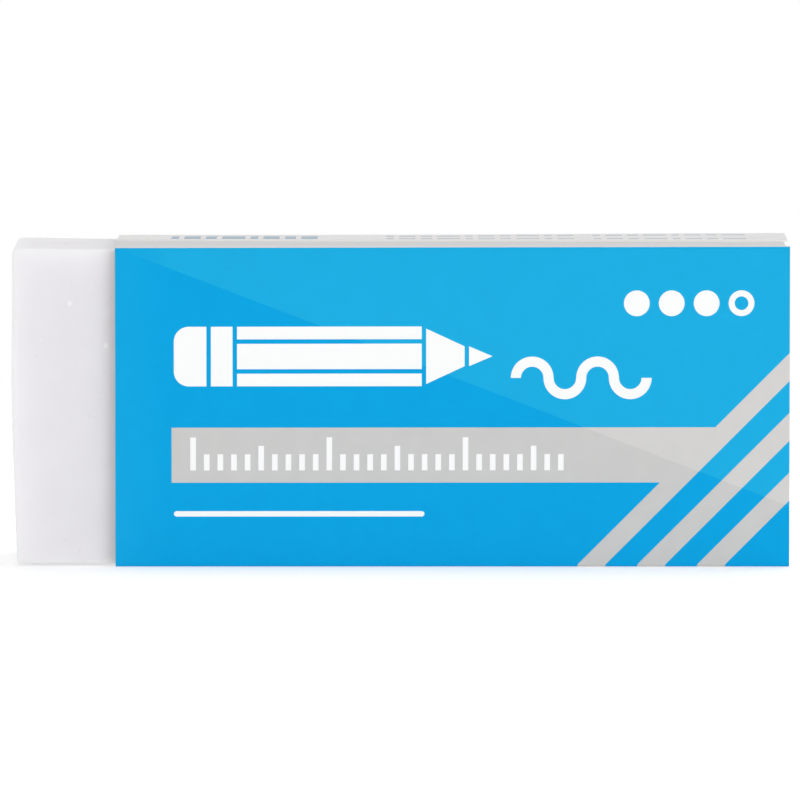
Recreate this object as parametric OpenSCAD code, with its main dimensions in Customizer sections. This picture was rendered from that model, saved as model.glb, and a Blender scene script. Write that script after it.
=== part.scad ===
// Vinyl eraser block in a printed card sleeve, in millimetres.
// It stands on its long narrow side. X runs along the block with the bare end
// towards -X, the printed front faces -Y and +Z is up. The origin lies on the
// standing face, under the middle of the whole length and depth.

/* [Eraser block] */
// Length of the block
block_len = 57; // [45:0.5:70]
// Height of the block as it stands
block_h = 23.15; // [20:0.05:30]
// Thickness of the block, front to back
block_t = 12; // [10:0.1:16]
// Rounding of the four long edges
long_edge_r = 0.5; // [0.2:0.05:1.5]
// Rounding of the upright edges at both ends
end_edge_r = 0.45; // [0.2:0.05:1.5]
// Rounding of the upper corner at both ends, seen from the front
top_corner_r = 0.75; // [0.2:0.05:2]
// Rounding of the lower corner at both ends, seen from the front
bottom_corner_r = 0.3; // [0.2:0.05:2]
// How far the lower half of the bare end curves in at its foot
end_lean = 0.4; // [0.1:0.05:1]

/* [Card sleeve] */
// Length of the sleeve along the block
sleeve_len = 49.5; // [40:0.5:60]
// Length of block left bare at the sleeve's mouth
bare_len = 7.7; // [2:0.1:15]
// Thickness of the card
card_t = 0.16; // [0.12:0.01:0.4]
// Gap between the block and the bottom panel that carries it
rest_gap = 0.02; // [0.01:0.01:0.1]
// Gap between the block and the flaps above it
top_gap = 0.06; // [0.02:0.01:0.2]
// Gap between the block and the front and back panels
slack_gap = 0.3; // [0.05:0.05:0.6]
// Inside radius of each fold in the card
fold_r = 0.1; // [0.05:0.01:0.3]
// Distance from the front fold to the free edge of the outer glue flap
lap_setback = 4.2; // [1:0.1:6]
// Width of the inner glue flap, from the front fold
inner_flap_w = 8; // [6.5:0.1:9]
// Length over which the outer flap comes down behind the inner one
lap_ramp = 1; // [0.5:0.1:1.5]
// How far the inner flap is cut back at the sleeve's far end
flap_trim = 0.35; // [0.1:0.05:1]

/* [Print] */
// Depth of the ink in the face of the card
ink_t = 0.04; // [0.02:0.01:0.08]
// Fall of the line between the two blues, in degrees
facet_angle = 21.1; // [10:0.1:24]
// Start of the grey bar, from the sleeve's mouth
bar_start = 4.13; // [1:0.01:10]
// Lower edge of the grey bar, above the sleeve's bottom
bar_rise = 6.2; // [4:0.1:7]
// Height of the grey bar
bar_h = 4.06; // [3:0.01:5]
// Number of slanting stripes
stripe_count = 3; // [1:1:3]
// Width of a slanting stripe, measured level
stripe_w = 2.05; // [1:0.05:3]
// Spacing of the slanting stripes, measured level
stripe_pitch = 4.39; // [3.5:0.01:5]
// Climb of the slanting stripes, in degrees
stripe_angle = 45; // [40:1:60]
// Foot of the first stripe, back from the sleeve's far end
stripe_reach = 15.71; // [12:0.01:20]

/* [White marks] */
// Start of the pencil, the scale and the rule, from the sleeve's mouth
mark_start = 4.3; // [3:0.1:8]
// Length of the pencil
pencil_len = 23.4; // [16:0.1:24]
// Thickness of the pencil
pencil_w = 4.4; // [3:0.1:5]
// Centre line of the pencil, above the sleeve's bottom
pencil_rise = 15.5; // [14:0.1:16]
// Length of the pencil's sharpened end
pencil_point = 5.2; // [4:0.1:6]
// Length of the rubber at the pencil's other end
pencil_rubber = 2.4; // [2:0.1:3]
// Length of the metal band beside that rubber
pencil_band = 1.6; // [1:0.1:2]
// Width of the coloured lines inside the pencil
pencil_line = 0.32; // [0.2:0.02:0.5]
// Start of the pencil stroke, from the sleeve's mouth
stroke_start = 29.4; // [28.5:0.1:31]
// Centre line of the pencil stroke, above the sleeve's bottom
stroke_rise = 13.9; // [13:0.1:15]
// Radius of each bow of the pencil stroke, to its middle
stroke_r = 1.2; // [0.8:0.05:1.3]
// Width of the pencil stroke
stroke_w = 0.75; // [0.4:0.05:0.9]
// Number of bows in the pencil stroke
stroke_bows = 4; // [1:1:4]
// Number of dots near the upper right corner, the last one open
dot_count = 4; // [2:1:4]
// Diameter of a dot
dot_d = 1.9; // [1:0.1:2.2]
// Spacing of the dots
dot_pitch = 2.56; // [2.4:0.02:3]
// Width of the open dot's ring
dot_ring = 0.45; // [0.2:0.05:0.6]
// Right edge of the dots, back from the sleeve's far end
dot_margin = 2.6; // [1:0.1:4]
// Centres of the dots, below the front panel's top
dot_drop = 4.18; // [3:0.01:5]
// Number of lines in the scale on the grey bar
tick_count = 28; // [5:1:28]
// Spacing of the scale's lines
tick_pitch = 1; // [0.8:0.05:1]
// Width of the scale's lines
tick_w = 0.42; // [0.2:0.02:0.5]
// Height of the scale's shortest lines
tick_h = 1.2; // [0.8:0.1:1.4]
// How much taller every fifth line is, and every tenth line again
tick_step = 0.62; // [0.2:0.02:0.7]
// Foot of the scale's lines, above the grey bar's lower edge
tick_rise = 0.9; // [0.5:0.1:1]
// Inset of the scale from the start of the other marks
tick_inset = 1.2; // [0:0.1:2]
// Length of the thin rule under the grey bar
rule_len = 18.4; // [10:0.1:20]
// Width of the thin rule
rule_w = 0.4; // [0.2:0.05:0.6]
// Centre line of the thin rule, above the sleeve's bottom
rule_rise = 3.9; // [2:0.1:5]

/* [Hidden] */
$fn = 48;

block_white = "#F0EEF1";
card_white = "#F6F6F5";
deep_blue = "#0CA2DF";
light_blue = "#1FAFE3";
stripe_grey = "#C8CAC9";

// Room by which a cutting shape runs past what it cuts
over = 1;

cavity_d = block_t + 2 * slack_gap;
cavity_h = block_h + rest_gap + top_gap;
sleeve_d = cavity_d + 2 * card_t;
front_h = cavity_h + 2 * card_t;
sleeve_h = front_h + card_t;
fold_out_r = fold_r + card_t;

total_len = max(bare_len + sleeve_len, block_len);
block_x = -total_len / 2;
sleeve_x = block_x + bare_len;
block_z = card_t + rest_gap;

// The lower half of the bare end is an arc that starts upright at mid height.
half_h = block_h / 2;
lean_r = (half_h * half_h + end_lean * end_lean) / (2 * end_lean);

stripe_foot = sleeve_len - stripe_reach;
stripe_run = front_h / tan(stripe_angle);

// The waste outside a rounded corner at the origin, for a shape that lies
// towards +X and +Y
module corner_waste(r) {
    difference() {
        translate([-over, -over]) square(r + over);
        translate([r, r]) circle(r);
    }
}

// A rectangle from the origin with a radius for each corner, in the order
// lower left, lower right, upper right, upper left; 0 keeps a corner square
module panel(w, h, radii) {
    difference() {
        square([w, h]);
        for (i = [0:3]) if (radii[i] > 0)
            translate([i == 1 || i == 2 ? w : 0, i > 1 ? h : 0])
                mirror([i == 1 || i == 2 ? 1 : 0, 0])
                    mirror([0, i > 1 ? 1 : 0])
                        corner_waste(radii[i]);
    }
}

// Eraser block

// The waste below the bare end's foot: a fillet between the leaning arc and
// the bottom, with its centre at fillet_c
module foot_waste() {
    fillet_x = lean_r - sqrt(pow(lean_r - bottom_corner_r, 2)
        - pow(half_h - bottom_corner_r, 2));
    fillet_c = [fillet_x, bottom_corner_r];
    arc_c = [lean_r, half_h];
    touch = arc_c + (fillet_c - arc_c) * lean_r / (lean_r - bottom_corner_r);
    difference() {
        polygon([fillet_c, touch, [-over, touch.y], [-over, -over],
            [fillet_x, -over]]);
        translate(fillet_c) circle(bottom_corner_r);
    }
}

// The block seen from the front, with its leaning end at the origin
module block_side() {
    difference() {
        union() {
            translate([0, half_h])
                panel(block_len, half_h, [0, 0, top_corner_r, top_corner_r]);
            intersection() {
                panel(block_len, half_h, [0, bottom_corner_r, 0, 0]);
                translate([lean_r, half_h]) circle(lean_r);
            }
        }
        foot_waste();
    }
}

module eraser_block() {
    color(block_white)
        translate([block_x, 0, block_z])
            intersection() {
                translate([0, block_t / 2, 0]) rotate([90, 0, 0])
                    linear_extrude(block_t) block_side();
                translate([0, -block_t / 2, 0]) rotate([90, 0, 90])
                    linear_extrude(block_len)
                        panel(block_t, block_h, long_edge_r * [1, 1, 1, 1]);
                translate([0, -block_t / 2, 0])
                    linear_extrude(block_h)
                        panel(block_len, block_t, end_edge_r * [1, 1, 1, 1]);
            }
}

// Card sleeve

// The folded card's outline across its length, from its lower front corner.
// The flap from the back panel climbs on to the flap from the front panel.
module sleeve_outline() {
    panel(sleeve_d, front_h, fold_out_r * [1, 1, 1, 1]);
    polygon([[lap_setback, front_h - card_t],
        [inner_flap_w + lap_ramp, front_h - card_t],
        [inner_flap_w + lap_ramp, front_h],
        [inner_flap_w, sleeve_h], [lap_setback, sleeve_h]]);
}

// The room inside the card, with the wedge that the climbing flap leaves open
// behind the inner flap's free edge
module sleeve_room() {
    translate([card_t, card_t])
        panel(cavity_d, cavity_h, fold_r * [1, 1, 1, 1]);
    polygon([[inner_flap_w, front_h - 2 * card_t],
        [inner_flap_w + lap_ramp, front_h - 2 * card_t],
        [inner_flap_w + lap_ramp, front_h - card_t],
        [inner_flap_w, front_h]]);
}

// What is cut from the inner flap's end, from the front fold to its free edge
module flap_waste() {
    translate([sleeve_x + sleeve_len - flap_trim, fold_out_r - sleeve_d / 2,
        front_h - card_t])
        cube([flap_trim + over, inner_flap_w - fold_out_r, card_t]);
}

// A shape across the sleeve, drawn from its lower front corner, run along it
module along_sleeve() {
    translate([sleeve_x, -sleeve_d / 2, 0]) rotate([90, 0, 90])
        linear_extrude(sleeve_len) children();
}

module card_sleeve() {
    color(card_white)
        difference() {
            along_sleeve()
                difference() {
                    sleeve_outline();
                    sleeve_room();
                }
            front_layer() difference() {
                front_panel();
                white_marks();
            }
            back_layer() square([sleeve_len, front_h]);
            flap_waste();
        }
}

// Print

// A drawing on the front panel, from its lower corner at the mouth, as a
// layer of ink in the card's face
module front_layer() {
    translate([sleeve_x, ink_t - sleeve_d / 2, 0]) rotate([90, 0, 0])
        linear_extrude(ink_t) children();
}

// The same on the back panel
module back_layer() {
    translate([sleeve_x, sleeve_d / 2, 0]) rotate([90, 0, 0])
        linear_extrude(ink_t) children();
}

// Ink ends where the card's folds turn away
module inside_folds() {
    intersection() {
        along_sleeve() sleeve_outline();
        union() children();
    }
}

module front_panel() {
    square([sleeve_len, front_h]);
}

// A slanting band from the panel's bottom to its top, cut off level
module slant(foot, w) {
    polygon([[foot, 0], [foot + w, 0], [foot + w + stripe_run, front_h],
        [foot + stripe_run, front_h]]);
}

// The bar ends on the far edge of the first stripe
module grey_bar() {
    bar_top = bar_rise + bar_h;
    far_edge = stripe_foot + stripe_w;
    polygon([[bar_start, bar_rise],
        [far_edge + bar_rise / tan(stripe_angle), bar_rise],
        [far_edge + bar_top / tan(stripe_angle), bar_top],
        [bar_start, bar_top]]);
}

module grey_field() {
    intersection() {
        union() {
            grey_bar();
            for (i = [0:stripe_count - 1])
                slant(stripe_foot + i * stripe_pitch, stripe_w);
        }
        front_panel();
    }
}

// The part of the front panel above the falling line
module upper_field() {
    polygon([[0, front_h], [sleeve_len, front_h - sleeve_len * tan(facet_angle)],
        [sleeve_len, front_h]]);
}

module blue_ink() {
    color(deep_blue)
        inside_folds() {
            front_layer() difference() {
                front_panel();
                upper_field();
                grey_field();
                white_marks();
            }
            back_layer() square([sleeve_len, front_h]);
        }
}

module light_blue_ink() {
    color(light_blue)
        inside_folds()
            front_layer() difference() {
                upper_field();
                grey_field();
                white_marks();
            }
}

module grey_ink() {
    color(stripe_grey)
        inside_folds()
            front_layer() difference() {
                grey_field();
                white_marks();
            }
}

// White marks, where no ink lies on the card

// A pencil along X, from the origin at its rubber end, centred on Y = 0
module pencil() {
    half_w = pencil_w / 2;
    band_x = pencil_rubber + pencil_line;
    wood_x = band_x + pencil_band + pencil_line;
    point_x = pencil_len - pencil_point;
    side_w = (pencil_w - 2 * pencil_line) / 4;
    lead_x = pencil_len - pencil_point / 3;
    lead_w = half_w / 3;
    translate([0, -half_w])
        panel(pencil_rubber, pencil_w, [half_w / 2, 0, 0, half_w / 2]);
    translate([band_x, -half_w]) square([pencil_band, pencil_w]);
    for (y = [-half_w, half_w - side_w])
        translate([wood_x, y]) square([point_x - wood_x, side_w]);
    translate([wood_x, -side_w]) square([point_x - wood_x, 2 * side_w]);
    polygon([[point_x + pencil_line, -half_w + pencil_line / 2],
        [lead_x - pencil_line, -lead_w], [lead_x - pencil_line, lead_w],
        [point_x + pencil_line, half_w - pencil_line / 2]]);
    polygon([[lead_x, -lead_w], [pencil_len, 0], [lead_x, lead_w]]);
}

// A wavy stroke along X from the origin, in half rings bowed up and down
module pencil_stroke() {
    outer_r = stroke_r + stroke_w / 2;
    for (i = [0:stroke_bows - 1])
        translate([(2 * i + 1) * stroke_r, 0])
            mirror([0, i % 2])
                intersection() {
                    difference() {
                        circle(outer_r);
                        circle(outer_r - stroke_w);
                    }
                    translate([-outer_r, 0]) square([2 * outer_r, outer_r]);
                }
}

// A row of dots that ends at the origin, the last one open
module dots() {
    for (i = [0:dot_count - 1])
        translate([(i - dot_count + 1) * dot_pitch - dot_d / 2, 0])
            difference() {
                circle(d = dot_d);
                if (i == dot_count - 1) circle(d = dot_d - 2 * dot_ring);
            }
}

// The scale's lines, from the origin at the foot of the first
module scale_lines() {
    for (i = [0:tick_count - 1])
        translate([i * tick_pitch, 0])
            square([tick_w, tick_h + (i % 5 == 0 ? tick_step : 0)
                + (i % 10 == 0 ? tick_step : 0)]);
}

// A thin line with round ends along X, from the origin
module thin_rule() {
    translate([rule_w / 2, -rule_w / 2]) square([rule_len - rule_w, rule_w]);
    for (x = [rule_w / 2, rule_len - rule_w / 2])
        translate([x, 0]) circle(d = rule_w);
}

module white_marks() {
    translate([mark_start, pencil_rise]) pencil();
    translate([stroke_start, stroke_rise]) pencil_stroke();
    translate([sleeve_len - dot_margin, front_h - dot_drop]) dots();
    translate([mark_start + tick_inset, bar_rise + tick_rise]) scale_lines();
    translate([mark_start, rule_rise]) thin_rule();
}

eraser_block();
card_sleeve();
blue_ink();
light_blue_ink();
grey_ink();
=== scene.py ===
# %% [markdown]
# # A vinyl eraser in its card sleeve
#
# The real thing is two pieces: a block of soft white vinyl, and one strip of printed card that is
# folded round it and glued where its two flaps overlap on top. The solids of both come in as a
# fixed frame. This lesson dresses them: the block gets the worn, slightly see-through skin of
# vinyl, and the sleeve gets real card thickness, soft folds, a raised lap and thin films of ink.
# Sizes are written in millimetres and turned to metres on the way into Blender.

# %% Bring in the frame
import math

import bmesh
import bpy
import numpy as np
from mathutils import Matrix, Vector


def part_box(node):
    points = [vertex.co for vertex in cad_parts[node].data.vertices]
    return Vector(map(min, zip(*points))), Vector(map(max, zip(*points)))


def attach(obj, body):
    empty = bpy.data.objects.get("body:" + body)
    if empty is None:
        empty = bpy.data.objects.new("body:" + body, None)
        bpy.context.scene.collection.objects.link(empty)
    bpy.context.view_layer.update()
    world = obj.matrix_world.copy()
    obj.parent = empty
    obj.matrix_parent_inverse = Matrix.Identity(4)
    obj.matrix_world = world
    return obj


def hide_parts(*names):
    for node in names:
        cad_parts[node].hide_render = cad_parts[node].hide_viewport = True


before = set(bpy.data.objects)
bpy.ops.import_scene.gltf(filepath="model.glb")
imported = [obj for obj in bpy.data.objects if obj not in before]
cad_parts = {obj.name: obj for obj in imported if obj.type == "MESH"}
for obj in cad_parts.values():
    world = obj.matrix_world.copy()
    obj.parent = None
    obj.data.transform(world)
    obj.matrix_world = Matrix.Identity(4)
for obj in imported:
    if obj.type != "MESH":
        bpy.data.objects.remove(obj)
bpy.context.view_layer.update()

MM = 0.001
for node in sorted(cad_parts):
    low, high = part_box(node)
    print(node, [round(v / MM, 2) for v in low], [round(v / MM, 2) for v in high])

# %% [markdown]
# ## Four small tools
#
# Colours are easiest to read off a real object as hex values, but Blender computes in linear
# light, so one function turns them. A second starts a material and a third adds a shader node
# with its settings and links, which keeps each material short enough to read. A fourth turns
# points and faces into a finished piece: it gives the piece its material, tells it which body to
# ride on and which solids it stands for.


# %% Colour and node tools
def linear(code, alpha=1.0):
    """An sRGB hex colour as the linear values that shaders use."""
    parts = [int(code[i:i + 2], 16) / 255 for i in (1, 3, 5)]
    bright = [c / 12.92 if c <= 0.04045 else ((c + 0.055) / 1.055) ** 2.4 for c in parts]
    return (*bright, alpha)


def add(tree, kind, settings=None, **inputs):
    """Adds a node. An input is a value, or another node's output, which gets linked."""
    node = tree.nodes.new("ShaderNode" + kind)
    for name, value in (settings or {}).items():
        setattr(node, name, value)
    for name, value in inputs.items():
        key = int(name[1:]) if name[0] == "_" else name.replace("_", " ")
        if isinstance(value, bpy.types.NodeSocket):
            tree.links.new(value, node.inputs[key])
        else:
            node.inputs[key].default_value = value
    return node


def new_material(name):
    """A named material, its node tree and its main shader."""
    material = bpy.data.materials.new(name)
    material.use_nodes = True
    return material, material.node_tree, material.node_tree.nodes["Principled BSDF"]


print("white in linear light", linear("#FFFFFF"))

# %% Piece tool
SHARP_ABOVE = 40.0


def piece(name, points, faces, material, body, replaces=()):
    """A mesh piece from points in millimetres, smooth where it curves and sharp where it was cut."""
    mesh = bpy.data.meshes.new(name)
    mesh.from_pydata([tuple(p) for p in np.asarray(points) * MM], [], faces)
    made = bmesh.new()
    made.from_mesh(mesh)
    bmesh.ops.recalc_face_normals(made, faces=made.faces)
    made.to_mesh(mesh)
    made.free()
    mesh.shade_smooth()
    mesh.set_sharp_from_angle(angle=math.radians(SHARP_ABOVE))
    mesh.materials.append(material)
    obj = bpy.data.objects.new(name, mesh)
    bpy.context.scene.collection.objects.link(obj)
    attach(obj, body)
    if replaces:
        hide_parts(*replaces)
    print(name, len(mesh.vertices), "points,", len(mesh.polygons), "faces")
    return obj


print("edges are sharp above", SHARP_ABOVE, "degrees")

# %% [markdown]
# ## Camera
#
# The photograph was taken from almost level with the eraser and from well back, so its long edges
# stay parallel and its top is a thin strip. A long lens from 0.82 m away gives that. The camera's
# height and its tilt, in degrees, come from how wide that strip looks against the front.

# %% Camera
CAMERA_BACK = 825.45
CAMERA_HEIGHT = 82.1
CAMERA_TILT = 4.872
SENSOR = 36.0
LENS = 503.98

camera_data = bpy.data.cameras.new("Camera")
camera_data.sensor_width = SENSOR
camera_data.lens = LENS
camera_data.clip_start = 0.05
camera_data.clip_end = 20
camera = bpy.data.objects.new("Camera", camera_data)
camera.location = (0, -CAMERA_BACK * MM, CAMERA_HEIGHT * MM)
camera.rotation_euler = (math.radians(90 - CAMERA_TILT), 0, 0)
bpy.context.scene.collection.objects.link(camera)
bpy.context.scene.camera = camera
print("camera", CAMERA_BACK, "mm back,", CAMERA_HEIGHT, "mm up")

# %% [markdown]
# ## Vinyl
#
# The block is plasticised PVC filled with chalk, moulded in long bars and cut to length. It is
# white but not opaque: light goes in and comes out a few millimetres away, so the bare end glows
# and the part near the sleeve, where the card keeps light out, falls off softly. That is what
# subsurface scattering is for, so no shade is painted. Its skin is satin, with a faint grain.
# Crumbs that cling to it are real bumps, and their whiteness is a painted highlight, led by a value
# on the mesh. Every pattern's scale below is a real size in millimetres. The moulded grain is drawn
# a few times coarser than real, since it would be finer than a pixel.

# %% Vinyl material
SPREAD = 3.0
MOTTLE = 2.2
SKIN_GRAIN = 0.35
GRAIN_DEPTH = 0.02
DUST = 1.1

vinyl, tree, shader = new_material("soft white PVC, moulded and cut")
place = add(tree, "TexCoord").outputs["Object"]
mottle = add(tree, "TexNoise", Vector=place, Scale=1 / (MOTTLE * MM), Detail=3.0)
tones = add(tree, "ValToRGB", Fac=mottle.outputs["Fac"])
tones.color_ramp.elements[0].position = 0.3
tones.color_ramp.elements[0].color = linear("#E6E4E7")
tones.color_ramp.elements[1].position = 0.7
tones.color_ramp.elements[1].color = linear("#E8E6E9")
dust = add(tree, "TexVoronoi", Vector=place, Scale=1 / (DUST * MM))
speck = add(tree, "MapRange", Value=dust.outputs["Distance"], From_Min=0.03, From_Max=0.07,
            To_Min=0.35, To_Max=0.0)
dirt = add(tree, "Mix", {"data_type": "RGBA"}, _0=speck.outputs[0], _6=tones.outputs[0],
           _7=linear("#B9B6B4"))
# Painted highlight: crumbs are coloured whiter, where they would catch the light.
painted_highlight = add(tree, "Attribute", {"attribute_name": "painted_highlight"}).outputs["Fac"]
crumbs = add(tree, "Mix", {"data_type": "RGBA"}, _0=painted_highlight, _6=dirt.outputs[2],
             _7=linear("#FFFEFE"))
grain = add(tree, "TexNoise", Vector=place, Scale=1 / (SKIN_GRAIN * MM), Detail=4.0)
skin = add(tree, "Bump", Height=grain.outputs["Fac"], Strength=0.25, Distance=GRAIN_DEPTH * MM)
gloss = add(tree, "MapRange", Value=mottle.outputs["Fac"], To_Min=0.5, To_Max=0.56)
tree.links.new(crumbs.outputs[2], shader.inputs["Base Color"])
tree.links.new(gloss.outputs[0], shader.inputs["Roughness"])
tree.links.new(skin.outputs[0], shader.inputs["Normal"])
shader.inputs["IOR"].default_value = 1.53
shader.inputs["Specular IOR Level"].default_value = 0.35
shader.inputs["Subsurface Weight"].default_value = 1.0
shader.inputs["Subsurface Radius"].default_value = (1.0, 0.95, 0.93)
shader.inputs["Subsurface Scale"].default_value = SPREAD * MM
print(vinyl.name, "spreads light over", SPREAD, "mm")

# %% [markdown]
# ## Card
#
# The sleeve is coated white card about 0.16 mm thick: smooth with a low sheen outside, bare and a
# little warmer inside, and bare again where it was die cut. The flaps on top are made rougher, and
# grey as painted shade, since the top faces away from the lamps. One material covers all four, led
# by three values kept on the mesh: how coated a face is, whether it is a cut edge, and how matt and
# shaded its flap is. The fibres are far finer than a pixel, so they are drawn a few times coarser
# than real.

# %% Card material
FIBRE = 0.3
FIBRE_DEPTH = 0.01

card, tree, shader = new_material("coated white card, die cut and folded")
place = add(tree, "TexCoord").outputs["Object"]
coat = add(tree, "Attribute", {"attribute_name": "coat"}).outputs["Fac"]
cut = add(tree, "Attribute", {"attribute_name": "cut"}).outputs["Fac"]
sides = add(tree, "Mix", {"data_type": "RGBA"}, _0=coat, _6=linear("#E6E3DE"),
            _7=linear("#FAFAF9"))
# Painted shade: matt flaps are coloured grey, as the top faces away from the lamps; matt also makes
# them rougher.
matt = add(tree, "Attribute", {"attribute_name": "matt"}).outputs["Fac"]
painted_flap_shade = add(tree, "Mix", {"data_type": "RGBA"}, _0=matt, _6=sides.outputs[2],
            _7=linear("#DBDADB"))
edges = add(tree, "Mix", {"data_type": "RGBA"}, _0=cut, _6=painted_flap_shade.outputs[2],
            _7=linear("#F0EFEC"))
fibre = add(tree, "TexNoise", Vector=place, Scale=1 / (FIBRE * MM), Detail=5.0)
press = add(tree, "Bump", Height=fibre.outputs["Fac"], Strength=0.2, Distance=FIBRE_DEPTH * MM)
glossy = add(tree, "Math", {"operation": "SUBTRACT"}, _0=coat, _1=matt)
sheen = add(tree, "MapRange", Value=glossy.outputs[0], To_Min=0.85, To_Max=0.42)
tree.links.new(edges.outputs[2], shader.inputs["Base Color"])
tree.links.new(sheen.outputs[0], shader.inputs["Roughness"])
tree.links.new(press.outputs[0], shader.inputs["Normal"])
shader.inputs["Specular IOR Level"].default_value = 0.3
print(card.name, "with fibres of", FIBRE, "mm")

# %% [markdown]
# ## Ink
#
# The print is offset ink on the coated side. Ink fills the card's surface a little, so it has a
# tighter sheen than bare card, and it lies unevenly by a percent or two, which keeps large flat
# fields from looking like plastic. The same recipe serves all colours. A second colour can show
# in part of a field: the two blues run together at the mouth, and the grey turns a shade lighter
# above the falling line that parts the blues.

# %% Ink materials
INK_MOTTLE = 1.4
INK_SHEEN = 0.38


def ink(name, code, other=None, where=None):
    """Offset ink of one colour. With a second colour, where says how much of it shows."""
    material, tree, shader = new_material(name)
    place = add(tree, "TexCoord").outputs["Object"]
    source = add(tree, "RGB")
    source.outputs[0].default_value = linear(code)
    colour = source.outputs[0]
    if other:
        share = where(tree, add(tree, "SeparateXYZ", Vector=place))
        colour = add(tree, "Mix", {"data_type": "RGBA"}, _0=share, _6=colour,
                     _7=linear(other)).outputs[2]
    mottle = add(tree, "TexNoise", Vector=place, Scale=1 / (INK_MOTTLE * MM), Detail=4.0)
    lay = add(tree, "MapRange", Value=mottle.outputs["Fac"], From_Min=0.3, From_Max=0.7,
              To_Min=0.985, To_Max=1.015)
    shown = add(tree, "HueSaturation", Color=colour, Value=lay.outputs[0])
    fibre = add(tree, "TexNoise", Vector=place, Scale=1 / (FIBRE * MM), Detail=5.0)
    press = add(tree, "Bump", Height=fibre.outputs["Fac"], Strength=0.12,
                Distance=FIBRE_DEPTH * MM)
    tree.links.new(shown.outputs[0], shader.inputs["Base Color"])
    tree.links.new(press.outputs[0], shader.inputs["Normal"])
    shader.inputs["Roughness"].default_value = INK_SHEEN
    shader.inputs["Specular IOR Level"].default_value = 0.06
    return material


print("ink recipe with a mottle of", INK_MOTTLE, "mm")

# %% Where a second colour shows
FACET_FALL = math.tan(math.radians(21.1))
FRONT_TOP = 23.55
sleeve_low, sleeve_high = (np.array(c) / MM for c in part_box("card_sleeve"))
MOUTH_X = sleeve_low[0]


def near_mouth(share, clears_from, clears_by):
    """The two blues run together at the mouth and clear between two distances along the sleeve."""
    def where(tree, axes):
        return add(tree, "MapRange", Value=axes.outputs["X"],
                   From_Min=(MOUTH_X + clears_from) * MM, From_Max=(MOUTH_X + clears_by) * MM,
                   To_Min=share, To_Max=0.0).outputs[0]
    return where


def above_facet(tree, axes):
    """1 above the falling line between the two blues, 0 below it."""
    line = add(tree, "Math", {"operation": "MULTIPLY_ADD"}, _0=axes.outputs["X"],
               _1=FACET_FALL, _2=axes.outputs["Z"])
    crossing = (MOUTH_X * FACET_FALL + FRONT_TOP) * MM
    return add(tree, "Math", {"operation": "GREATER_THAN"}, _0=line.outputs[0],
               _1=crossing).outputs[0]


print("the blues part along a fall of", round(FACET_FALL, 3))

# %% The five inks
DEEP, LIGHT = "#04A3DF", "#1AACE0"
deep_blue = ink("deep cyan offset ink", DEEP, LIGHT, near_mouth(0.35, 0.0, 4.0))
light_blue = ink("light cyan offset ink", LIGHT, DEEP, near_mouth(0.45, 2.0, 4.0))
grey = ink("light grey offset ink", "#CAC9C7", "#D2D0CE", above_facet)
faint_blue = ink("pale blue offset ink", "#6E9DB8")
faint_grey = ink("pale grey offset ink", "#A2B2BF")
print("inks", [m.name for m in (deep_blue, light_blue, grey, faint_blue, faint_grey)])

# %% [markdown]
# ## The block
#
# A bar of vinyl has softly rounded edges, so a plain box with a bevel nearly gives it, but its
# edges differ: wider at the top corners, tighter at the foot, and the cut end leans in below the
# middle. It is easier to skin closed rings placed along the block, each a rounded rectangle that
# shrinks as it nears an end. Every ring has the same number of points, so neighbours join up.


# %% Rings of a rounded bar
def rounded_ring(x, low, high, radius, spans=(150, 40, 70, 34), turn=6):
    """Points round a rounded rectangle across the block.

    Spans counts the points along its four flat stretches, and turn those round each corner.
    """
    (y0, z0), (y1, z1) = low, high
    corners = [(y0 + radius, z1 - radius, 180), (y1 - radius, z1 - radius, 90),
               (y1 - radius, z0 + radius, 0), (y0 + radius, z0 + radius, 270)]
    points = []
    for i, (cy, cz, start) in enumerate(corners):
        arc = [(cy + radius * math.cos(math.radians(start - 90 * k / turn)),
                cz + radius * math.sin(math.radians(start - 90 * k / turn)))
               for k in range(turn + 1)]
        points += [(x, y, z) for y, z in arc]
        ny, nz, n_start = corners[(i + 1) % 4]
        to = (ny + radius * math.cos(math.radians(n_start)),
              nz + radius * math.sin(math.radians(n_start)))
        count = spans[(i + 1) % 4]
        for k in range(1, count):
            t = k / count
            points.append((x, arc[-1][0] + (to[0] - arc[-1][0]) * t,
                           arc[-1][1] + (to[1] - arc[-1][1]) * t))
    return np.array(points)


def inset(radius, depth):
    """How far a rounded edge has drawn in, at a depth from the end."""
    left = max(0.0, radius - depth)
    return radius - math.sqrt(max(0.0, radius ** 2 - left ** 2))


def tube_faces(rings, count):
    """Faces between neighbouring rings of count points."""
    faces = []
    for i in range(rings - 1):
        for j in range(count):
            k = (j + 1) % count
            faces.append((i * count + j, i * count + k, (i + 1) * count + k,
                          (i + 1) * count + j))
    return faces


print("tools", [tool.__name__ for tool in (rounded_ring, inset, tube_faces)])

# %% The block's own rings
BLOCK_LOW, BLOCK_HIGH = (np.array(c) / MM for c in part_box("eraser_block"))
BLOCK_LEN = BLOCK_HIGH[0] - BLOCK_LOW[0]
SIDE_R, TOP_R, FOOT_R, LONG_R = 0.4, 0.44, 0.2, 0.17
LONG_TIGHTENS = 0.6
end_steps = [0, 0.012, 0.03, 0.06, 0.1, 0.15, 0.21, 0.28, 0.36, 0.45, 0.55, 0.65, 0.75]
bare_steps = list(np.arange(0.85, 9.0, 0.1))
hidden_steps = list(np.linspace(9.3, BLOCK_LEN - 0.9, 46))
stations = end_steps + bare_steps + hidden_steps + [BLOCK_LEN - d for d in end_steps[::-1]]


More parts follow.
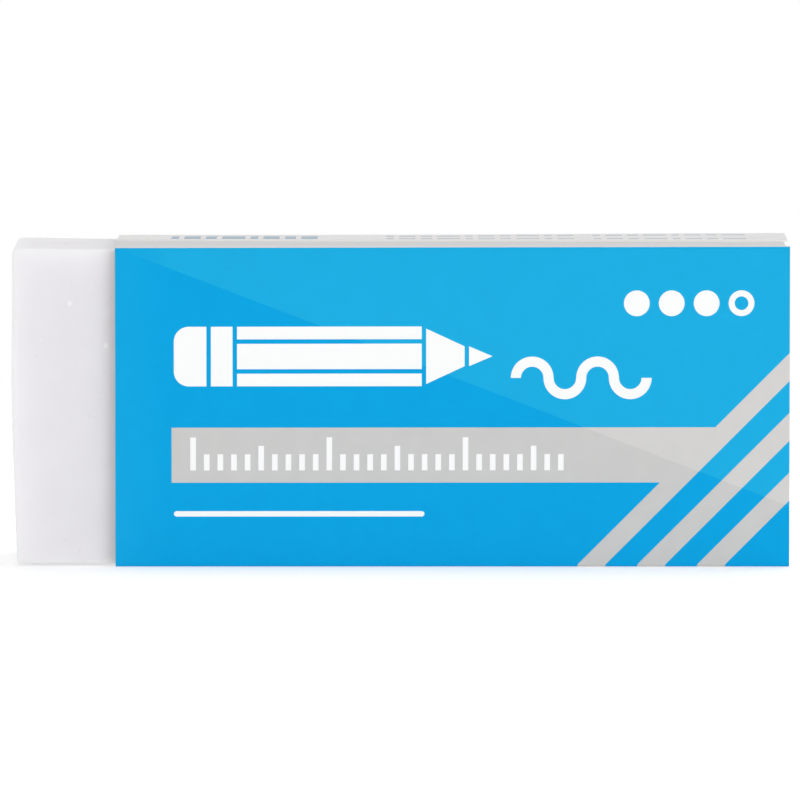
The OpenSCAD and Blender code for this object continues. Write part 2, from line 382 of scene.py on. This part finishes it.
def block_ring(along):
    """The block's section at a distance from its bare end."""
    depth = min(along, BLOCK_LEN - along)
    side, top, foot = (inset(r, depth) for r in (SIDE_R, TOP_R, FOOT_R))
    corner = LONG_R * (1 - LONG_TIGHTENS * side / SIDE_R)
    return rounded_ring(BLOCK_LOW[0] + along,
                        (BLOCK_LOW[1] + side, BLOCK_LOW[2] + foot),
                        (BLOCK_HIGH[1] - side, BLOCK_HIGH[2] - top), corner)


rings = [block_ring(s) for s in stations]
ring_size = len(rings[0])
print("block stations", len(stations))

# %% Closing the block's ends
cap_shares = [0.995, 0.98, 0.95, 0.9, 0.83, 0.75, 0.66, 0.57, 0.48, 0.39, 0.3, 0.21, 0.12, 0.05]


def cap(ring):
    """Smaller and smaller copies of an end ring, which close the end flat."""
    middle = ring.mean(axis=0)
    return [middle + (ring - middle) * share for share in cap_shares]


rings = cap(rings[0])[::-1] + rings + cap(rings[-1])
points = np.concatenate(rings)
faces = tube_faces(len(rings), ring_size)
faces.append(tuple(range(ring_size)))
faces.append(tuple(range(len(points) - ring_size, len(points))))
print("block rings", len(rings), "of", ring_size, "points")

# %% [markdown]
# ## What use does to the block
#
# The photographed block isn't a perfect bar. Its end leans in at the foot and a little at the top,
# its bare end stands a hair taller than the part that the card squeezes, and its sides sink a
# little under the card. There are three crumbs and a few small nicks. All of these move the
# points, so they hold up from any side. Each change grows smoothly over a zone, which is given as
# where it starts and how long it takes, in millimetres. Each mark is a soft bell of a real radius
# and depth, pushed in or out along the surface.

# %% Lean
LEAN_BELOW, LEAN_SLOPE, LEAN_BEND, LEAN_TRIM = 11.4, 0.0345, 1.0, 0.01
CUT_BACK, TOP_LEAN = 0.05, 0.07
LEAN_ZONE, TOP_LEAN_ZONE = (0.0, 7.0), (12.0, 9.0)
x, y, z = points.T
height = z - BLOCK_LOW[2]
from_end = x - BLOCK_LOW[0]
from_far_end = from_end - BLOCK_LEN


def ease(t):
    """A smooth step from 0 to 1."""
    t = np.clip(t, 0, 1)
    return t * t * (3 - 2 * t)


def rising(value, zone):
    """0 before a zone, 1 after it, and a smooth rise inside."""
    start, over = zone
    return ease((value - start) / over)


below = LEAN_BELOW - height
bent = (below + np.sqrt(below ** 2 + LEAN_BEND)) / 2
lean = LEAN_SLOPE * (bent - LEAN_TRIM)
lean += CUT_BACK + TOP_LEAN * rising(height, TOP_LEAN_ZONE)
x = x + lean * (1 - rising(from_end, LEAN_ZONE))
print("the bare end leans in by up to", round(float(lean.max()), 2), "mm")

# %% Waist, swell and height
WAIST, WAIST_ZONE, WAIST_END_ZONE = 0.12, (1.0, 7.0), (-4.0, 3.0)
SWELL, SWELL_ZONE = 0.15, (-5.0, 4.0)
BARE_RISE, SQUEEZE, SQUEEZE_ZONE = 0.045, 0.085, (0.0, 7.5)
FOOT_HANG, HANG_ZONE = 0.015, (0.0, 9.0)
TOP_ZONE, FOOT_ZONE = (20.0, 3.0), (0.0, 2.0)
sink = WAIST * rising(from_end, WAIST_ZONE) * (1 - rising(from_far_end, WAIST_END_ZONE))
swell = SWELL * rising(from_far_end, SWELL_ZONE)
towards_side = np.clip(np.abs(y) / BLOCK_HIGH[1], 0, 1)
y = y + np.sign(y) * (swell - sink) * towards_side
near_top = rising(height, TOP_ZONE)
near_foot = 1 - rising(height, FOOT_ZONE)
z = z + (BARE_RISE - SQUEEZE * rising(from_end, SQUEEZE_ZONE)) * near_top
z = z - FOOT_HANG * (1 - rising(from_end, HANG_ZONE)) * near_foot
points = np.stack([x, y, z], axis=1)
print("the sides sink by up to", WAIST, "mm under the card")

# %% Crumbs and nicks
CRUMB = 0.15
# Each mark: place in millimetres, radius, and height of the bell (below 0 is a nick)
MARKS = [
    ((-24.27, -5.97, 19.35), 0.11, 0.15), ((-21.6, -5.93, 16.25), 0.13, 0.15),
    ((-26.35, -5.98, 16.6), 0.1, 0.03), ((-28.42, -5.85, 18.8), 0.16, -0.12),
    ((-24.6, -1.2, 23.35), 0.22, -0.10), ((-22.95, -5.93, 11.0), 0.12, -0.03),
    ((-22.6, -5.92, 10.85), 0.12, -0.03), ((-28.5, -1.5, 7.0), 0.3, -0.05),
    ((-28.5, 3.1, 14.2), 0.25, -0.05), ((-25.2, 5.9, 8.4), 0.2, -0.04),
]
END_SKIN, SIDE_SKIN, TOP_SKIN, FOOT_SKIN = 0.8, 5.5, 22.5, 0.5
out_x = np.where(from_end < END_SKIN, -1.0, 0) + np.where(from_far_end > -END_SKIN, 1.0, 0)
out_y = np.where(np.abs(y) > SIDE_SKIN, np.sign(y), 0)
out_z = np.where(height > TOP_SKIN, 1.0, 0) - np.where(height < FOOT_SKIN, 1.0, 0)
outward = np.stack([out_x, out_y, out_z], axis=1)
NO_ZERO = 1e-6
outward /= np.maximum(np.linalg.norm(outward, axis=1, keepdims=True), NO_ZERO)
# Crumbs that rise carry a painted highlight, which grows with their height.
painted_highlight = np.zeros(len(points))
for spot, radius, rise in MARKS:
    reach = np.exp(-np.sum((points - spot) ** 2, axis=1) / radius ** 2)
    points = points + outward * (rise * reach)[:, None]
    painted_highlight = np.maximum(painted_highlight, reach * max(rise, 0) / CRUMB)
points[:, 0] = np.clip(points[:, 0], BLOCK_LOW[0], BLOCK_HIGH[0])
vinyl_block = piece("vinyl_block", points, faces, vinyl, "block", ["eraser_block"])
store = vinyl_block.data.attributes.new("painted_highlight", "FLOAT", "POINT")
store.data.foreach_set("value", painted_highlight)
print("marks", len(MARKS))

# %% [markdown]
# ## Folding the card
#
# A real sleeve is die cut flat, creased and folded. The same order works here: the card is a line
# of stations across the strip, from the free edge of the inner flap, down the front, under, up the
# back and over to the free edge of the outer flap, which climbs on to the inner one. Each station
# knows its place and which way is out, so the card's two faces are the same line moved by half
# its thickness. Running that section along the block makes the sleeve. FREE_EDGE is where the
# outer flap ends across the top, at the mouth and at the far end, because it was glued askew.

# %% Sizes across the card
CARD_T = 0.16
FILM = 0.01
FOLD_OUT = 0.26
FOLD_MID = FOLD_OUT - CARD_T / 2
HALF_D = 6.46 - FILM
INNER_EDGE_Y = 1.54
OUTER_EDGE_Y = -2.26
FREE_EDGE = (0.1, -1.1)
RAMP = (2.75, 1.45)
FOLD_COUNT = 8
INNER_COUNT, BACK_COUNT, RAMP_COUNT, LAP_COUNT = 10, 4, 12, 5
SIDE_COUNT, FOOT_COUNT = 24, 12
side_c, top_c, foot_c = HALF_D - FOLD_OUT, FRONT_TOP - FOLD_OUT, FOLD_OUT
top_z, foot_z, side_y = FRONT_TOP - CARD_T / 2, CARD_T / 2, HALF_D - CARD_T / 2
print("folds turn about", round(side_c, 2), "mm out and", round(top_c, 2), "mm up")


# %% Straight stretches and folds
def run(a, b, count):
    """Stations on a straight stretch from a to b, without b. Out is to the right of travel."""
    (ay, az), (by, bz) = a, b
    length = math.hypot(by - ay, bz - az)
    out = ((bz - az) / length, -(by - ay) / length)
    return [(ay + (by - ay) * k / count, az + (bz - az) * k / count, *out)
            for k in range(count)]


def fold(cy, cz, start, count=FOLD_COUNT):
    """Stations round a fold, turning left by a quarter from a direction in degrees."""
    angles = [math.radians(start + 90 * k / count) for k in range(count)]
    return [(cy + FOLD_MID * math.cos(a), cz + FOLD_MID * math.sin(a), math.cos(a), math.sin(a))
            for a in angles]


print("a fold has", len(fold(0, 0, 90)), "stations")

# %% The card's section
section = run((INNER_EDGE_Y, top_z), (-side_c, top_z), INNER_COUNT)
section += fold(-side_c, top_c, 90)
section += run((-side_y, top_c), (-side_y, foot_c), SIDE_COUNT)
section += fold(-side_c, foot_c, 180)
section += run((-side_c, foot_z), (side_c, foot_z), FOOT_COUNT)
section += fold(side_c, foot_c, 270)
section += run((side_y, foot_c), (side_y, top_c), SIDE_COUNT)
section += fold(side_c, top_c, 0)
section += run((side_c, top_z), (RAMP[0], top_z), BACK_COUNT)
climb = CARD_T - FILM
for k in range(RAMP_COUNT):
    t = k / RAMP_COUNT
    slope = climb * 6 * t * (1 - t) / (RAMP[0] - RAMP[1])
    tilt = math.hypot(1, slope)
    section.append((RAMP[0] + (RAMP[1] - RAMP[0]) * t, top_z + climb * ease(t), slope / tilt,
                    1 / tilt))
section += run((RAMP[1], top_z + climb), (OUTER_EDGE_Y, top_z + climb), LAP_COUNT)
section.append((OUTER_EDGE_Y, top_z + climb, 0.0, 1.0))
section = np.array(section)
across = len(section)
print("stations across the card", across)

# %% [markdown]
# ## The sleeve
#
# The section runs along the block from the mouth to the far end, in shorter steps near both ends.
# At the far end the inner flap is cut back a little, as the photograph shows. A real sleeve never
# sits quite level: its folds rise by a tenth of a millimetre on the way. One function, settle,
# gives that rise at any place, so the print rises with the card that it lies on.

# %% How the card settles
SLEEVE_LEN = sleeve_high[0] - sleeve_low[0]
FRONT_RISE = (-0.035, 0.065)
BACK_RISE, BACK_RISES_FROM = (0.0, 0.13), 0.3
UNDER_LAP, UNDER_LAP_OVER = -0.01, 3.5


def settle(x, y, z):
    """How far the card stands above its nominal line: it grows a little towards the far end."""
    along = (x - MOUTH_X) / SLEEVE_LEN
    front = FRONT_RISE[0] + (FRONT_RISE[1] - FRONT_RISE[0]) * along
    back_share = ease((along - BACK_RISES_FROM) / (1 - BACK_RISES_FROM))
    back = BACK_RISE[0] + (BACK_RISE[1] - BACK_RISE[0]) * back_share
    under_lap = ease((y + side_c) / UNDER_LAP_OVER)
    front = front + (UNDER_LAP - front) * under_lap
    back = back * (1 - ease((RAMP[0] - y) / (RAMP[0] - RAMP[1])))
    rise = np.where(y > RAMP[1], back, np.where(z > FRONT_TOP, 0.0, front))
    return rise * np.clip(z / FRONT_TOP, 0, 1)


far_rise = float(settle(MOUTH_X + SLEEVE_LEN, -side_c, FRONT_TOP))
print("the front fold stands", round(far_rise, 3), "mm up at the far end")

# %% The folded card
FLAP_TRIM, END_ZONE = 0.3, 2.2
near_end = [0, 0.08, 0.2, 0.4, 0.7, 1.2]
steps = near_end + list(np.linspace(END_ZONE, SLEEVE_LEN - END_ZONE, 32))
steps += [SLEEVE_LEN - d for d in near_end[::-1]]
half = CARD_T / 2
is_inner_flap = np.arange(across) <= INNER_COUNT
is_lap_run = np.arange(across) >= across - LAP_COUNT - 1
rings = []
for s in steps:
    line = section.copy()
    far = ease((s - (SLEEVE_LEN - END_ZONE)) / END_ZONE)
    along = np.full(across, MOUTH_X + s) - FLAP_TRIM * far * is_inner_flap
    free_edge = FREE_EDGE[0] + (FREE_EDGE[1] - FREE_EDGE[0]) * s / SLEEVE_LEN
    reach = (RAMP[1] - free_edge) / (RAMP[1] - OUTER_EDGE_Y)
    line[:, 0] = np.where(is_lap_run, RAMP[1] + (line[:, 0] - RAMP[1]) * reach, line[:, 0])
    line[:, 1] += settle(along, line[:, 0], line[:, 1])
    outer = np.stack([along, line[:, 0] + half * line[:, 2], line[:, 1] + half * line[:, 3]], 1)
    inner = np.stack([along, line[:, 0] - half * line[:, 2], line[:, 1] - half * line[:, 3]], 1)
    rings.append(np.concatenate([outer, inner[::-1]]))
ring_size = 2 * across
points = np.concatenate(rings)
faces = tube_faces(len(rings), ring_size)
for base, flip in ((0, False), ((len(rings) - 1) * ring_size, True)):
    for j in range(across - 1):
        k = ring_size - 1 - j
        quad = (base + j, base + j + 1, base + k - 1, base + k)
        faces.append(quad[::-1] if flip else quad)
folded_card = piece("folded_card", points, faces, card, "sleeve", ["card_sleeve"])

# %% [markdown]
# ## Coated, cut and matt
#
# The card's material needs to know what each face is. Coat is 1 outside and 0 inside, and cut is 1
# on every cut edge. Matt is for the flaps, where it makes the card rougher and mixes in painted
# shade:
# 1 on the margin of the inner flap that shows in front of the lap, and less on the outer flap.

# %% Values on the card's faces
# The outer flap gets less roughness and less painted shade than the margin in front of it.
OUTER_MATT_AND_SHADE = 0.6
LAP_FACES = BACK_COUNT + RAMP_COUNT + LAP_COUNT + 2
coat_values, cut_values = [], []
for polygon in folded_card.data.polygons:
    spots = [v % ring_size for v in polygon.vertices]
    outside = all(v < across for v in spots)
    inside = all(v >= across for v in spots)
    coat_values.append(1.0 if outside else 0.0)
    cut_values.append(0.0 if outside or inside else 1.0)
end_faces = 2 * (across - 1)
coat_values[-end_faces:] = [0.0] * end_faces
cut_values[-end_faces:] = [1.0] * end_faces
matt_and_shade_values = []
for polygon, coated in zip(folded_card.data.polygons, coat_values):
    station = min(v % ring_size for v in polygon.vertices)
    if station < INNER_COUNT + FOLD_COUNT // 2:
        flap_shade_share = 1.0
    elif station >= across - LAP_FACES:
        flap_shade_share = OUTER_MATT_AND_SHADE
    else:
        flap_shade_share = 0.0
    matt_and_shade_values.append(coated * flap_shade_share)
for name, values in (("coat", coat_values), ("cut", cut_values), ("matt", matt_and_shade_values)):
    store = folded_card.data.attributes.new(name, "FLOAT", "FACE")
    store.data.foreach_set("value", values)
print("cut faces", int(sum(cut_values)))

# %% [markdown]
# ## Films of ink
#
# The shapes of the print are already exact in the frame's ink solids, so they aren't drawn again.
# Their outer faces are laid out flat, each edge at the folds is let run a little further round, as
# print bleeds over a crease, and the sheet is folded back on to the card as a film a hundredth of
# a millimetre thick. A film has to bend with the fold, so it is first scored along the fold.

# %% Laying out and folding
BLEED_TOP, BLEED_FOOT = 50.0, 88.0
FOLD_SCORES = [90 / FOLD_COUNT * k for k in range(FOLD_COUNT)]
AT_FOOT, PAST_CREASE = 0.004, 0.1
FACES_OUT = 0.5


def flat_height(z):
    """Height on the sleeve's front as a length along the card's outer face."""
    if z < FOLD_OUT:
        return FOLD_OUT - FOLD_OUT * math.asin(min(1.0, (FOLD_OUT - z) / FOLD_OUT))
    if z > top_c:
        return top_c + FOLD_OUT * math.asin(min(1.0, (z - top_c) / FOLD_OUT))
    return z


def folded(height, lift):
    """A length along the card's outer face as (in from the face, height), lifted off the card."""
    over, under = height - top_c, FOLD_OUT - height
    for past, centre_z, sign in ((over, top_c, 1), (under, FOLD_OUT, -1)):
        if past > 0:
            angle = past / FOLD_OUT
            inward = (FOLD_OUT + lift) * (1 - math.cos(angle))
            return inward, centre_z + sign * (FOLD_OUT + lift) * math.sin(angle)
    return 0.0, height


print("a film is scored at", FOLD_SCORES, "degrees round a fold")


# %% From an ink solid to a film
def film(name, node, material):
    """The outer faces of an ink solid as a thin film on the card."""
    sheet = bmesh.new()
    sheet.from_mesh(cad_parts[node].data)
    bmesh.ops.remove_doubles(sheet, verts=sheet.verts, dist=1e-6)
    sheet.normal_update()
    inner_faces = [f for f in sheet.faces
                   if f.normal.y * math.copysign(1, f.calc_center_median().y) < FACES_OUT]
    bmesh.ops.delete(sheet, geom=inner_faces, context="FACES")
    for v in sheet.verts:
        v.co = (v.co.x / MM, math.copysign(1, v.co.y), flat_height(v.co.z / MM))
    low = min(v.co.z for v in sheet.verts)
    high = max(v.co.z for v in sheet.verts)
    for v in sheet.verts:
        if v.co.z < min(low + AT_FOOT, FOLD_OUT):
            v.co.z = FOLD_OUT - FOLD_OUT * math.radians(BLEED_FOOT)
        elif v.co.z > top_c + PAST_CREASE:
            v.co.z = top_c + FOLD_OUT * math.radians(BLEED_TOP)
    scores = [top_c + FOLD_OUT * math.radians(a) for a in FOLD_SCORES]
    scores += [FOLD_OUT - FOLD_OUT * math.radians(a) for a in FOLD_SCORES]
    for score in scores:
        everything = sheet.verts[:] + sheet.edges[:] + sheet.faces[:]
        bmesh.ops.bisect_plane(sheet, geom=everything, plane_co=(0, 0, score),
                               plane_no=(0, 0, 1), dist=1e-5)
    bmesh.ops.dissolve_degenerate(sheet, dist=1e-4, edges=sheet.edges)
    sheet.verts.index_update()
    sides = [math.copysign(1, v.co.y) for v in sheet.verts]
    flat = [(v.co.x, v.co.z) for v in sheet.verts]
    skins = []
    for lift in (FILM, 0.0):
        for side, (x, height) in zip(sides, flat):
            inward, z = folded(height, lift)
            y = side * (HALF_D + lift - inward)
            skins.append((x, y, z + float(settle(x, y, z))))
    count = len(flat)
    faces = [tuple(v.index for v in f.verts) for f in sheet.faces]
    rims = [tuple(v.index for v in e.verts) for e in sheet.edges if e.is_boundary]
    sheet.free()
    faces += [tuple(v + count for v in f) for f in faces]
    faces += [(a, b, b + count, a + count) for a, b in rims]
    print(name, "was", round(low, 3), "to", round(high, 3), "mm up when flat")
    return piece(name, skins, faces, material, "sleeve", [node])


film("deep_blue_print", "blue_ink", deep_blue)
film("light_blue_print", "light_blue_ink", light_blue)
film("grey_print", "grey_ink", grey)

# %% [markdown]
# ## Small print on the lap
#
# The outer flap carries three runs of small print, seen almost edge on: a bolder one in pale
# blue, and fine rows in grey. Plain dashes stand for them. They can't be read from any side.

# %% Dashes on the outer flap
LAP_TOP = FRONT_TOP + CARD_T
DASHES, SHORTEST = (0.55, 1.2, 0.8, 1.7), 0.6
GAP = 0.4
BOLD_HEIGHT, FINE_HEIGHT = 1.3, 0.5
BOLD_ROW, NEAR_ROW, FAR_ROW = 0.7, 0.0, 4.4
BOLD_RUN, FINE_RUNS = (4.0, 10.8), ((19.9, 14.0), (35.2, 11.4))


def dashes(name, rows, material):
    """Rows of short printed dashes. A row is its start and length, its place and its height."""
    points, faces = [], []
    for (start, length), middle, height in rows:
        low, high = middle - height / 2, middle + height / 2
        top = LAP_TOP if high < RAMP[1] else FRONT_TOP + FILM
        u, k = start, int(middle)
        while u < start + length - SHORTEST:
            dash = DASHES[k % len(DASHES)]
            x0, x1 = MOUTH_X + u, MOUTH_X + min(u + dash, start + length)
            base = len(points)
            for z in (top - FILM, top):
                for x, y in ((x0, low), (x1, low), (x1, high), (x0, high)):
                    points.append((x, y, z + float(settle(x, y, z))))
            faces += [tuple(base + n for n in f) for f in
                      ((0, 3, 2, 1), (4, 5, 6, 7), (0, 1, 5, 4), (1, 2, 6, 5), (2, 3, 7, 6),
                       (3, 0, 4, 7))]
            u += dash + GAP
            k += 1
    piece(name, points, faces, material, "sleeve")


dashes("lap_dashes", [(BOLD_RUN, BOLD_ROW, BOLD_HEIGHT)], faint_blue)
fine_rows = [(BOLD_RUN, FAR_ROW, FINE_HEIGHT)]
for stretch in FINE_RUNS:
    fine_rows += [(stretch, NEAR_ROW, FINE_HEIGHT), (stretch, FAR_ROW, FINE_HEIGHT)]
dashes("lap_fine_print", fine_rows, faint_grey)

# %% [markdown]
# ## Floor and light
#
# A pale floor under the eraser keeps its shadow, and the camera sees floor and surroundings as
# white. Reflections see the same white behind the object, but a dimmer room on the camera's side,
# as in a studio, so that the print keeps its depth.

# %% Floor
SPAN, FLOOR_DROP = 3.0, 0.02
CAMERA_GLOW, TABLE_GLOW = 0.4, 0.3
FADE_FROM, FADE_BY = 0.05, 0.16
floor_mesh = bpy.data.meshes.new("floor")
floor_mesh.from_pydata([(-SPAN, -SPAN, 0), (SPAN, -SPAN, 0), (SPAN, SPAN, 0), (-SPAN, SPAN, 0)],
                       [], [(0, 1, 2, 3)])
floor = bpy.data.objects.new("floor", floor_mesh)
floor.location.z = -FLOOR_DROP * MM
bpy.context.scene.collection.objects.link(floor)

floor_material, tree, shader = new_material("matt white paper roll")
shader.inputs["Base Color"].default_value = linear("#E4E4E4")
shader.inputs["Roughness"].default_value = 0.9
shader.inputs["Specular IOR Level"].default_value = 0.0
seen = add(tree, "LightPath")
camera_glow = add(tree, "Emission", Strength=CAMERA_GLOW)
table_glow = add(tree, "Emission", Strength=TABLE_GLOW)
table = add(tree, "AddShader", _0=shader.outputs[0], _1=table_glow.outputs[0])
lit = add(tree, "AddShader", _0=shader.outputs[0], _1=camera_glow.outputs[0])
shown = add(tree, "MixShader", _0=seen.outputs["Is Camera Ray"], _1=table.outputs[0],
            _2=lit.outputs[0])
plain = add(tree, "Emission", Strength=1.0)
spot = add(tree, "TexCoord").outputs["Object"]
away = add(tree, "VectorMath", {"operation": "LENGTH"}, _0=spot).outputs["Value"]
fade = add(tree, "MapRange", Value=away, From_Min=FADE_FROM, From_Max=FADE_BY)
whiter = add(tree, "Math", {"operation": "MULTIPLY"}, _0=fade.outputs[0],
             _1=seen.outputs["Is Camera Ray"])
final = add(tree, "MixShader", _0=whiter.outputs[0], _1=shown.outputs[0], _2=plain.outputs[0])
tree.links.new(final.outputs[0], tree.nodes["Material Output"].inputs["Surface"])
floor_mesh.materials.append(floor_material)
print(floor_material.name, SPAN, "m either way")

# %% World
SKY = 0.4
ROOM_EDGE, ROOM_DARK = 0.3, 0.05
world = bpy.data.worlds.new("studio")
bpy.context.scene.world = world
world.use_nodes = True
tree = world.node_tree
background = tree.nodes["Background"]
rays = add(tree, "LightPath")
direction = add(tree, "SeparateXYZ", Vector=add(tree, "TexCoord").outputs["Generated"])
room = add(tree, "MapRange", Value=direction.outputs["Y"], From_Min=-ROOM_EDGE,
           From_Max=ROOM_EDGE, To_Min=ROOM_DARK, To_Max=1.0)
mirrored = add(tree, "Math", {"operation": "MAXIMUM"}, _0=rays.outputs["Is Glossy Ray"],
               _1=rays.outputs["Is Transmission Ray"])
base = add(tree, "Mix", _0=mirrored.outputs[0], _2=SKY, _3=room.outputs[0])
strength = add(tree, "Mix", _0=rays.outputs["Is Camera Ray"], _2=base.outputs[0], _3=1.0)
tree.links.new(strength.outputs[0], background.inputs["Strength"])
background.inputs["Color"].default_value = linear("#FFFFFF")
print(world.name, "lights at", SKY)

# %% Lamps
# Each lamp: name, place in metres, width in metres and power in watts
LAMPS = [
    ("front softbox", (-0.15, -1.05, 0.35), 0.7, 0.4),
    ("overhead softbox", (0.1, 0.25, 1.0), 0.7, 4.5),
    ("right softbox", (0.78, -0.6, 0.2), 0.5, 4.15),
    ("left softbox", (-0.85, -0.45, 0.22), 0.5, 2.4),
]
for name, place, size, power in LAMPS:
    light = bpy.data.lights.new(name, "AREA")
    light.size = size
    light.energy = power
    lamp = bpy.data.objects.new(name, light)
    lamp.location = place
    lamp.rotation_euler = (-Vector(place)).to_track_quat("-Z", "Y").to_euler()
    bpy.context.scene.collection.objects.link(lamp)
bpy.context.scene.view_settings.view_transform = "Standard"
print("lamps", [row[0] for row in LAMPS])
